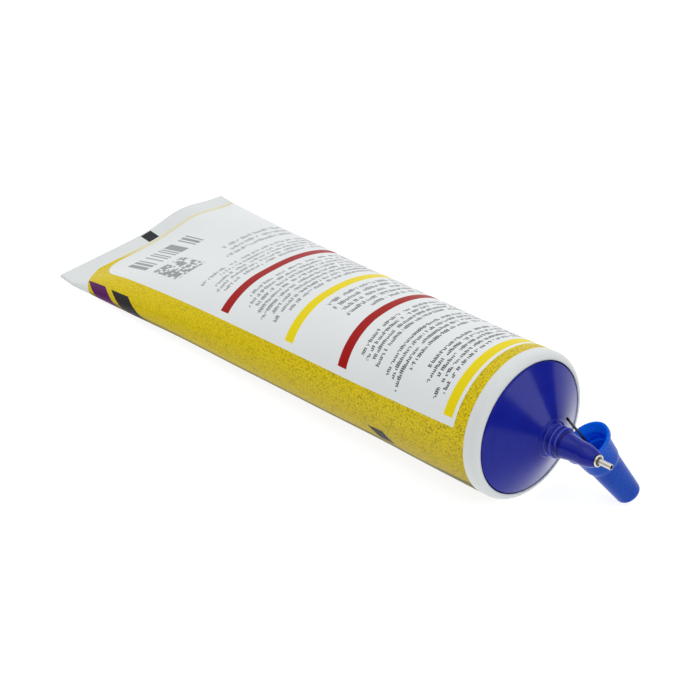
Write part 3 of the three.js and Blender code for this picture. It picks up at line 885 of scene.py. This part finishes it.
# Short upright strokes of random height, some of them joined at the foot or the top
def strokes(shader, around, row, height):
    travel = shader.math("MULTIPLY_ADD", row, STROKE_ROW_SHIFT, shader.times(around, STROKES_PER_MM))
    cell = shader.math("MULTIPLY_ADD", row, STROKE_CELLS_PER_ROW, shader.math("FLOOR", travel))
    first = shader.random(cell)
    second = shader.random(shader.math("ADD", cell, 0.5))
    top = shader.math("MULTIPLY_ADD", second, STROKE_TOP_VARIES, STROKE_TOP)
    upright = shader.both(
        shader.math("LESS_THAN", shader.math("FRACT", travel), STROKE_WIDTH),
        shader.math("GREATER_THAN", first, STROKE_GAPS),
        shader.math("GREATER_THAN", height, STROKE_FOOT[0]),
        shader.math("LESS_THAN", height, top),
    )
    foot = shader.both(shader.math("GREATER_THAN", first, FOOT_FREE), shader.between(height, *STROKE_FOOT))
    head = shader.both(shader.math("GREATER_THAN", second, HEAD_FREE), shader.between(height, *STROKE_HEAD))
    return shader.either(upright, foot, head)


# A plain block of bars and a plain block of squares near the tail
def plain_blocks(shader, along, around):
    bar = shader.math("FLOOR", shader.times(around, BARS_PER_MM))
    bars = shader.math("GREATER_THAN", shader.random(bar), BAR_GAPS)
    square_along = shader.math("FLOOR", shader.times(along, SQUARES_PER_MM))
    square_around = shader.math("FLOOR", shader.times(around, SQUARES_PER_MM))
    cell = shader.math("MULTIPLY_ADD", square_along, SQUARE_CELLS_PER_ROW, square_around)
    squares = shader.math("GREATER_THAN", shader.random(cell), SQUARE_GAPS)
    return shader.either(
        shader.both(bars, shader.block(along, around, BAR_BLOCK)),
        shader.both(squares, shader.block(along, around, SQUARE_BLOCK)),
    )


# Stripes across the panel: the middle of each along the tube, and its ink
STRIPES = ((10.3, STRIPE_YELLOW), (49.8, STRIPE_RED), (70.0, STRIPE_YELLOW), (96.3, STRIPE_RED))

# Slanted plain patches on the flanks: start, end, the girth that they begin at, depth, slant and ink
PATCHES = (
    (129.0, 136.6, 28.0, 9.0, 1.7, BAND_CHARCOAL),
    (139.5, 147.5, 27.8, 9.0, 1.7, BAND_PURPLE),
    (31.6, 36.8, 35.2, 4.0, 0.8, BAND_CHARCOAL),
)


def patch(shader, along, side, start, end, first, depth, slant):
    below = shader.math("SUBTRACT", side, first)
    slanted = shader.math("MULTIPLY_ADD", below, slant, along)
    return shader.both(shader.between(slanted, start, end), shader.between(below, 0.0, depth))


# The white panel, with a large round corner at its near tail end
def white_panel(shader, along, around):
    past = shader.math("MAXIMUM", shader.math("SUBTRACT", along, PANEL_END - PANEL_CORNER), 0.0)
    short = shader.math("SUBTRACT", PANEL_NEAR_EDGE + PANEL_CORNER, around)
    short = shader.math("MAXIMUM", short, 0.0)
    squares = shader.math("MULTIPLY_ADD", past, past, shader.times(short, short))
    corner = shader.math("LESS_THAN", squares, PANEL_CORNER ** 2)
    started = shader.math("GREATER_THAN", along, PANEL_START)
    return shader.both(corner, started, shader.math("LESS_THAN", around, PANEL_FAR_EDGE))


# The print's tail end draws back towards the head on the near flank
def print_cover(shader, along, around):
    past = shader.math("MAXIMUM", shader.math("SUBTRACT", -PRINT_END_BENDS_FROM, around), 0.0)
    back = shader.times(shader.math("POWER", past, PRINT_END_BEND_POWER), PRINT_END_BEND_RATE)
    back = shader.math("MINIMUM", back, PRINT_END_BEND_LIMIT)
    ended = shader.math("GREATER_THAN", shader.math("ADD", along, back), PRINT_END)
    started = shader.math("GREATER_THAN", along, PRINT_START)
    return shader.both(started, shader.math("SUBTRACT", 1.0, ended))


# The stripes and rows bow towards the head on the near flank
def bowed(shader, along, around):
    flank = shader.remap(around, *PRINT_BOW_FLANK, 0.0, 1.0)
    grown = shader.remap(along, *PRINT_BOW_GROWS, 0.0, 1.0)
    share = shader.times(shader.math("POWER", flank, PRINT_BOW_POWER), grown)
    return shader.math("MULTIPLY_ADD", share, PRINT_BOW, along)


# The glittering ground with its patches, and a paler line past the panel's tail end
def printed_ground(shader, along, around):
    ground = glitter(shader, along, around)
    side = shader.math("ABSOLUTE", around)
    for *outline, ink in PATCHES:
        ground = shader.mix(patch(shader, along, side, *outline), ground, ink)
    tail_line = shader.both(
        shader.math("GREATER_THAN", along, PANEL_END - 2 * PANEL_CORNER),
        shader.remap(around, *TAIL_LINE_FADES, 0.0, TAIL_LINE_SHARE),
    )
    return shader.mix(tail_line, ground, WHITE_FILM)


# What the white panel carries: small print, plain blocks and stripes
def printed_paper(shader, paper, along, in_rows, on_print):
    strength = shader.remap(along, *INK_FADES, *INK_STRENGTH)
    ink = shader.times(small_print(shader, in_rows, on_print), strength)
    paper = shader.mix(ink, paper, INK_GREY)
    blocks = shader.times(plain_blocks(shader, along, on_print), BLOCK_STRENGTH)
    paper = shader.mix(blocks, paper, INK_GREY)
    for middle, stripe_ink in STRIPES:
        sides = (middle - STRIPE_WIDTH / 2, middle + STRIPE_WIDTH / 2)
        paper = shader.mix(shader.block(in_rows, on_print, (sides, STRIPE_ENDS)), paper, stripe_ink)
    return paper


# Satin film with a cloudy tone and a fine grain
FILM_IOR = 1.27
FILM_ROUGHNESS = (0.4, 0.5)
TONE_NOISE = (0.06, 2.0)
GRAIN_NOISE = (0.9, 3.0)
GRAIN_DEPTH = 0.012


def printed_film():
    shader = Shader("printed_film", IOR=FILM_IOR)
    along, around, inner = shader.place()
    drift = shader.remap(along, *PRINT_DRIFTS, 0.0, PRINT_DRIFT)
    on_print = shader.math("SUBTRACT", around, drift)
    tone = shader.noise(shader.vector(along, around, 0.0), *TONE_NOISE)
    paper = shader.mix(tone, PAPER_WHITE, WHITE_FILM)
    paper = printed_paper(shader, paper, along, bowed(shader, along, around), on_print)
    ground = printed_ground(shader, along, around)
    printed = shader.mix(white_panel(shader, along, on_print), ground, paper)
    bare = shader.mix(tone, BARE_FILM_DARK, BARE_FILM_LIGHT)
    bare = shader.mix(shader.block(along, around, TAIL_MARK), bare, INK_BLACK)
    outside = shader.math("LESS_THAN", inner, 0.5)
    covered = shader.both(print_cover(shader, along, around), outside)
    shader.set("Base Color", shader.mix(covered, bare, printed))
    grain = shader.noise(shader.solid_place(), *GRAIN_NOISE)
    shader.set("Roughness", shader.stretch(grain, *FILM_ROUGHNESS))
    shader.bump(grain, GRAIN_DEPTH)
    return shader.material


# Glossy moulded plastic: faint flow streaks in its colour, and a fine skin on its gloss
FLOW_ALONG = 0.15
FLOW_ROUND = 2.0
FLOW_NOISE = (0.5, 3.0)
SKIN_NOISE = (1.6, 3.0)
GLOSS_VARIES = 0.03
DIMPLE_NOISE = (1.2, 1.0)
DIMPLE_DEPTH = 0.006


def moulded_plastic(name, dark, light, gloss, detail, **sockets):
    shader = Shader(name, **sockets)
    along, angle, radius = shader.place()
    flow = shader.vector(shader.times(along, FLOW_ALONG), shader.times(angle, FLOW_ROUND), radius)
    streak = shader.noise(flow, *FLOW_NOISE)
    plastic = shader.mix(shader.stretch(streak, 0.0, 1.0), dark, light)
    shader.set("Base Color", detail(shader, plastic, along, radius))
    solid = shader.solid_place()
    skin = shader.noise(solid, *SKIN_NOISE)
    shader.set("Roughness", shader.stretch(skin, gloss - GLOSS_VARIES, gloss + GLOSS_VARIES))
    shader.bump(shader.noise(solid, *DIMPLE_NOISE), DIMPLE_DEPTH)
    return shader.material


# The neck's thread: painted highlights on the crests, and painted shade in the grooves
CREST_FOOT = NECK_RADIUS + 0.2
CREST_TOP = NECK_RADIUS + THREAD_HEIGHT
CREST_HIGHLIGHT_SHARE = 0.9
GROOVE_FLOOR = NECK_RADIUS - GROOVE_DEPTH
GROOVE_SHADE_SHARE = 0.75
GROOVE_COLOUR_REACH = 0.3
THREAD_COLOUR_MARGIN = 0.1


def thread_painted_highlight_and_shade(shader, plastic, along, radius):
    along_neck = (SHOULDER_HEIGHT, NOZZLE_START + GROOVE_COLOUR_REACH)
    off_axis = (GROOVE_FLOOR - THREAD_COLOUR_MARGIN, CREST_TOP + THREAD_COLOUR_MARGIN)
    on_neck = shader.block(along, radius, (along_neck, off_axis))
    crest = shader.remap(radius, CREST_FOOT, CREST_TOP, 0.0, CREST_HIGHLIGHT_SHARE)
    groove = shader.remap(radius, GROOVE_FLOOR, CREST_FOOT, GROOVE_SHADE_SHARE, 0.0)
    # Painted highlight on the crests, then painted shade in the grooves
    plastic = shader.mix(shader.both(on_neck, crest), plastic, THREAD_CREST_PAINTED_HIGHLIGHT)
    return shader.mix(shader.both(on_neck, groove), plastic, THREAD_GROOVE_PAINTED_SHADE)


# The cap's thin wall lets light through, and that glow is painted: its inside, its lip and its skirt towards
# the mouth are painted brighter
MID_WALL_AT_TIP = CAP_TIP_RADIUS - 0.9
MID_WALL_AT_SKIRT = CAP_SKIRT_RADIUS - 0.5
MID_WALL_FLARE = CAP_LIP_FLARE + 0.2
LIP_PAINTED_GLOW = 0.5
LIP_PAINTED_GLOW_END = CAP_LENGTH - 0.1
SKIRT_PAINTED_GLOW = 0.3


def painted_glow_inside(shader, plastic, along, radius):
    shell = shader.remap(along, 0.0, CAP_LIP_BASE, MID_WALL_AT_TIP, MID_WALL_AT_SKIRT)
    flare = shader.remap(along, CAP_LIP_BASE, CAP_LENGTH, 0.0, MID_WALL_FLARE)
    mid_wall = shader.math("ADD", shell, flare)
    hollow = shader.math("GREATER_THAN", along, CAP_END_WALL / 2)
    inside = shader.both(hollow, shader.math("LESS_THAN", radius, mid_wall))
    lip = shader.remap(along, CAP_LIP_BASE, LIP_PAINTED_GLOW_END, 0.0, LIP_PAINTED_GLOW)
    skirt = shader.remap(along, CAP_SKIRT_BASE, CAP_LENGTH, 0.0, SKIRT_PAINTED_GLOW)
    # Painted glow on the inside, the lip and the skirt
    return shader.mix(shader.either(inside, lip, skirt), plastic, CAP_PAINTED_GLOW)


# Bright metal with fine turning marks round its axis, painted shade that greys the dish, and painted shade
# that makes the bore black and dull
TURNING_NOISE = (9.0, 3.0)
TURNING_DEPTH = 0.01
METAL_ROUGHNESS = (0.3, 0.44)
BORE_ROUGHNESS = 0.8
BORE_EDGE = NEEDLE_BORE_RADIUS + 0.14
DISH = (NEEDLE_RADIUS + 0.05, FERRULE_RADIUS - FERRULE_LIP - 0.05)
DISH_PAINTED_SHADE_SHARE = 0.7


def turned_metal():
    shader = Shader("tip_metal")
    along, _, radius = shader.place()
    marks = shader.noise(shader.vector(along, 0.0, radius), *TURNING_NOISE)
    in_bore = shader.math("LESS_THAN", radius, BORE_EDGE)
    metal = shader.mix(shader.stretch(marks, 0.0, 1.0), METAL_DARK, METAL_LIGHT)
    in_dish = shader.between(radius, *DISH)
    # Painted shade greys the dish
    metal = shader.mix(shader.times(in_dish, DISH_PAINTED_SHADE_SHARE), metal, DISH_PAINTED_SHADE)
    # Painted shade: the bore and its edge are black, dull and not metallic
    shader.set("Base Color", shader.mix(in_bore, metal, BORE_PAINTED_SHADE))
    shader.set("Metallic", shader.math("SUBTRACT", 1.0, in_bore))
    rough = shader.stretch(marks, *METAL_ROUGHNESS)
    shader.set("Roughness", shader.math("MAXIMUM", rough, shader.times(in_bore, BORE_ROUGHNESS)))
    shader.bump(marks, TURNING_DEPTH)
    return shader.material


# Drawn wire with marks along it, and a dark end
DRAW_ALONG = 0.2
DRAW_ROUND = 3.0
DRAW_NOISE = (2.0, 3.0)
DRAW_DEPTH = 0.008
WIRE_ROUGHNESS = (0.26, 0.42)
DARK_END = (PIN_TIP - 1.2, PIN_TIP - 0.6)


def pin_wire():
    shader = Shader("pin_wire", Metallic=1.0)
    along, angle, _ = shader.place()
    drawn = shader.vector(shader.times(along, DRAW_ALONG), shader.times(angle, DRAW_ROUND), 0.0)
    marks = shader.noise(drawn, *DRAW_NOISE)
    wire = shader.mix(marks, WIRE_DARK, WIRE_LIGHT)
    end = shader.remap(along, *DARK_END, 0.0, 1.0)
    shader.set("Base Color", shader.mix(end, wire, WIRE_END))
    shader.set("Roughness", shader.stretch(marks, *WIRE_ROUGHNESS))
    shader.bump(marks, DRAW_DEPTH)
    return shader.material


# Thick adhesive with a faint cloud
GLUE_IOR = 1.47
GLUE_ROUGHNESS = (0.08, 0.16)
CLOUD_NOISE = (0.12, 3.0)


def clear_glue():
    shader = Shader("clear_glue", IOR=GLUE_IOR)
    cloud = shader.noise(shader.solid_place(), *CLOUD_NOISE)
    shader.set("Base Color", shader.mix(cloud, GLUE_DARK, GLUE_LIGHT))
    shader.set("Roughness", shader.stretch(cloud, *GLUE_ROUGHNESS))
    return shader.material


# The pieces, and what each stands for
def dress(piece, node, body, material):
    piece.data.materials.append(material)
    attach(piece, body)
    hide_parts(node)


# Roughness and refraction of the plastics
HEAD_GLOSS = 0.17
HEAD_IOR = 1.28
CAP_GLOSS = 0.28
CAP_IOR = 1.25

# How much light goes into the cap, and how far its red, green and blue go, in metres
CAP_GLOW_SHARE = 0.4
CAP_GLOW_RADIUS = (0.0004, 0.001, 0.004)

head_plastic = moulded_plastic(
    "head_plastic", HEAD_BLUE_DARK, HEAD_BLUE_LIGHT, HEAD_GLOSS, thread_painted_highlight_and_shade, IOR=HEAD_IOR)
cap_plastic = moulded_plastic(
    "cap_plastic", CAP_BLUE_DARK, CAP_BLUE_LIGHT, CAP_GLOSS, painted_glow_inside,
    Subsurface_Weight=CAP_GLOW_SHARE, Subsurface_Radius=CAP_GLOW_RADIUS, Subsurface_Scale=1.0,
    IOR=CAP_IOR)
tip_metal = turned_metal()

dress(make_sleeve(), "sleeve", "tube", printed_film())
dress(make_head(), "shoulder_nozzle", "tube", head_plastic)
dress(make_ferrule(), "tip_ferrule", "tube", tip_metal)
dress(make_needle(), "needle_tube", "tube", tip_metal)
dress(make_cap(), "cap_shell", "cap", cap_plastic)
dress(make_pin(), "cap_pin", "cap", pin_wire())

# The glue keeps its CAD shape and gets a finer material
glue_material = clear_glue()
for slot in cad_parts["glue_fill"].material_slots:
    slot.material = glue_material


# Floor and lights, with lengths in metres
FLOOR_HALF = 6.0
FLOOR_GLOW = 0.86
FLOOR_ROUGHNESS = 0.9
SPECKLE_NOISE = (0.02, 2.0)

# Soft boxes: name, place, aim, width, height and radiance
SOFT_BOXES = (
    ("overhead", (-0.1, -0.1, 1.1), (0, 0, 0), 1.1, 0.9, 1.1),
    ("front", (0.88, 0.37, 0.31), (0.07, 0, 0.02), 0.5, 0.26, 2.6),
)


def make_floor():
    mesh = bpy.data.meshes.new("floor")
    corners = [(x * FLOOR_HALF, y * FLOOR_HALF, 0) for x, y in ((-1, -1), (1, -1), (1, 1), (-1, 1))]
    mesh.from_pydata(corners, [], [(0, 1, 2, 3)])
    floor = bpy.data.objects.new("floor", mesh)
    bpy.context.scene.collection.objects.link(floor)
    shader = Shader("pale_floor", Roughness=FLOOR_ROUGHNESS, Emission_Strength=FLOOR_GLOW)
    shader.set("Specular IOR Level", 0.0)
    shader.set("Emission Color", (1.0, 1.0, 1.0, 1.0))
    speckle = shader.noise(shader.solid_place(), *SPECKLE_NOISE)
    shader.set("Base Color", shader.mix(speckle, FLOOR_DARK, FLOOR_LIGHT))
    mesh.materials.append(shader.material)


def soft_box(name, place, aim, width, height, radiance):
    light = bpy.data.lights.new(name, "AREA")
    light.shape = "RECTANGLE"
    light.size = width
    light.size_y = height
    light.energy = math.pi * width * height * radiance
    box = bpy.data.objects.new(name, light)
    box.location = place
    direction = Vector(aim) - Vector(place)
    box.rotation_euler = direction.to_track_quat("-Z", "Y").to_euler()
    bpy.context.scene.collection.objects.link(box)


# Studio surroundings: a pale backdrop behind the object, dim elsewhere at the horizon, light overhead
BACKDROP_SIDE = (-0.72, 0.69, 0.0)
BACKDROP_RAMP = (0.3, 0.75, 0.0, 0.9)
OVERHEAD_RAMP = (0.1, 0.75, 0.06, 0.85)


# A smooth ramp, given as its start, its end and the values there
def smooth_ramp(tree, value, limits):
    ramp = tree.nodes.new("ShaderNodeMapRange")
    ramp.interpolation_type = "SMOOTHSTEP"
    tree.links.new(value, ramp.inputs[0])
    for index, limit in enumerate(limits, start=1):
        ramp.inputs[index].default_value = limit
    return ramp.outputs[0]


def make_world():
    world = bpy.data.worlds.new("studio")
    world.use_nodes = True
    tree = world.node_tree
    background = tree.nodes["Background"]
    background.inputs["Color"].default_value = (1, 1, 1, 1)
    direction = tree.nodes.new("ShaderNodeTexCoord")
    split = tree.nodes.new("ShaderNodeSeparateXYZ")
    tree.links.new(direction.outputs["Generated"], split.inputs[0])
    behind = tree.nodes.new("ShaderNodeVectorMath")
    behind.operation = "DOT_PRODUCT"
    tree.links.new(direction.outputs["Generated"], behind.inputs[0])
    behind.inputs[1].default_value = BACKDROP_SIDE
    light = tree.nodes.new("ShaderNodeMath")
    light.operation = "MAXIMUM"
    tree.links.new(smooth_ramp(tree, split.outputs[2], OVERHEAD_RAMP), light.inputs[0])
    tree.links.new(smooth_ramp(tree, behind.outputs["Value"], BACKDROP_RAMP), light.inputs[1])
    # The picture's background is plain white
    path = tree.nodes.new("ShaderNodeLightPath")
    seen = tree.nodes.new("ShaderNodeMix")
    tree.links.new(path.outputs["Is Camera Ray"], seen.inputs[0])
    tree.links.new(light.outputs[0], seen.inputs[2])
    seen.inputs[3].default_value = 1.0
    tree.links.new(seen.outputs[0], background.inputs["Strength"])
    bpy.context.scene.world = world


def make_camera():
    data = bpy.data.cameras.new("camera")
    data.sensor_width = SENSOR_WIDTH
    data.lens = CAMERA_LENS
    camera = bpy.data.objects.new("camera", data)
    place = Vector(CAMERA_PLACE) * MM
    direction = Vector(CAMERA_AIM) * MM - place
    turn = direction.to_track_quat("-Z", "Y") @ Quaternion((0, 0, 1), CAMERA_ROLL)
    camera.location = place
    camera.rotation_euler = turn.to_euler()
    bpy.context.scene.collection.objects.link(camera)
    bpy.context.scene.camera = camera


make_floor()
make_world()
for box in SOFT_BOXES:
    soft_box(*box)
make_camera()
bpy.context.scene.view_settings.view_transform = "Standard"
